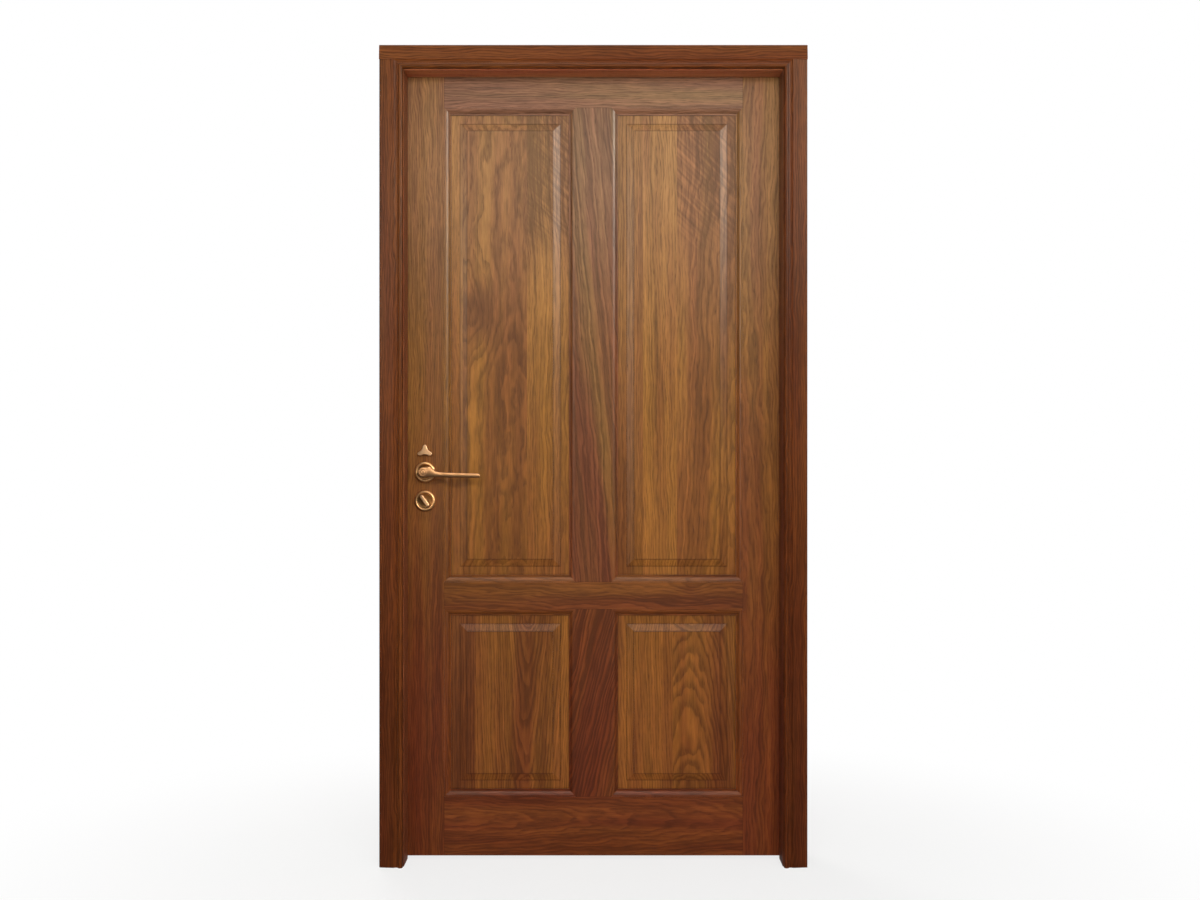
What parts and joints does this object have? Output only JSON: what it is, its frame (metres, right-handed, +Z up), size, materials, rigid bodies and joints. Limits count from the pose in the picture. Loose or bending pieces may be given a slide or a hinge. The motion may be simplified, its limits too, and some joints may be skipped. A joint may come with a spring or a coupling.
{
  "type": "four-panel interior door with frame",
  "caption": "Hinged interior door leaf with raised and fielded panels in stained oak, hung in its lining with casings, brass lever, thumb turn and snib",
  "frame": {"origin": "middle of the doorway at floor level, halfway through the wall that the lining spans", "axes": "+Z up; +Y through the wall, away from the viewer of the picture, the way the leaf opens; +X towards the hinge side"},
  "size_m": [1.056, 0.1915, 2.028],
  "materials": {
    "frame_oak": "satin lacquer on stained oak",
    "leaf_oak": "satin lacquer on stained oak",
    "panel_oak": "satin lacquer on stained oak, edge-glued staves",
    "brass": "polished",
    "steel": "zinc plated",
    "seal_rubber": "matt"
  },
  "bodies": {
    "frame": {"lock_lining": "frame_oak", "hinge_lining": "frame_oak", "head_lining": "frame_oak", "lining_screws": "steel", "lock_stop": "frame_oak", "hinge_stop": "frame_oak", "head_stop": "frame_oak", "frame_seal": "seal_rubber", "front_casing_left": "frame_oak", "front_casing_right": "frame_oak", "front_casing_head": "frame_oak", "rear_casing_left": "frame_oak", "rear_casing_right": "frame_oak", "rear_casing_head": "frame_oak", "strike_plate": "brass", "strike_screws": "brass", "frame_hinge_screws": "brass", "hinge_bottom_frame_plate": "brass", "hinge_bottom_pin": "brass", "hinge_middle_frame_plate": "brass", "hinge_middle_pin": "brass", "hinge_top_frame_plate": "brass", "hinge_top_pin": "brass"},
    "leaf": {"lock_stile": "leaf_oak", "hinge_stile": "leaf_oak", "top_rail": "leaf_oak", "lock_rail": "leaf_oak", "bottom_rail": "leaf_oak", "upper_muntin": "leaf_oak", "lower_muntin": "leaf_oak", "upper_left_panel": "panel_oak", "upper_right_panel": "panel_oak", "lower_left_panel": "panel_oak", "lower_right_panel": "panel_oak", "leaf_hinge_screws": "brass", "lock_case": "steel", "lock_forend": "brass", "forend_screws": "brass", "lever_rose_front": "brass", "lever_rose_rear": "brass", "turn_rose_front": "brass", "turn_rose_rear": "brass", "rose_bases": "steel", "rose_screws": "steel", "snib_collar": "brass", "hinge_bottom_leaf_plate": "brass", "hinge_middle_leaf_plate": "brass", "hinge_top_leaf_plate": "brass"},
    "lever": {"follower": "steel", "lever_spindle": "steel", "lever_front": "brass", "lever_rear": "brass", "lever_grub_screws": "steel"},
    "latch": {"latch_bolt": "brass"},
    "bolt": {"dead_bolt": "brass"},
    "turn": {"thumb_turn": "brass", "turn_release": "brass", "turn_spindle": "steel", "turn_crank": "steel"},
    "snib": {"snib_knob": "brass"}
  },
  "joints": [
    {"name": "door_swing", "type": "hinge", "parent": "frame", "child": "leaf", "pos_m": [0.48125, 0.0665, 1.018], "axis": [0, 0, -1], "range_deg": [0, 120]},
    {"name": "lever_turn", "type": "hinge", "parent": "leaf", "child": "lever", "pos_m": [-0.4245, 0.04, 0.973], "axis": [0, 1, 0], "range_deg": [0, 40], "stiffness_Nm_per_rad": 1.2, "springref_deg": -34.38},
    {"name": "latch_slide", "type": "slide", "parent": "leaf", "child": "latch", "axis": [1, 0, 0], "range_m": [0, 0.01]},
    {"name": "thumb_turn", "type": "hinge", "parent": "leaf", "child": "turn", "pos_m": [-0.4245, 0.04, 0.901], "axis": [0, -1, 0], "range_deg": [0, 90]},
    {"name": "bolt_slide", "type": "slide", "parent": "leaf", "child": "bolt", "axis": [-1, 0, 0], "range_m": [0, 0.02]},
    {"name": "snib_turn", "type": "hinge", "parent": "leaf", "child": "snib", "pos_m": [-0.4245, 0.02, 1.026], "axis": [0, 1, 0], "range_deg": [0, 90]}
  ],
  "couplings": [
    {"joint": "latch_slide", "follows": "lever_turn", "m_per_rad": 0.01432},
    {"joint": "thumb_turn", "follows": "bolt_slide", "rad_per_m": 78.5}
  ]
}
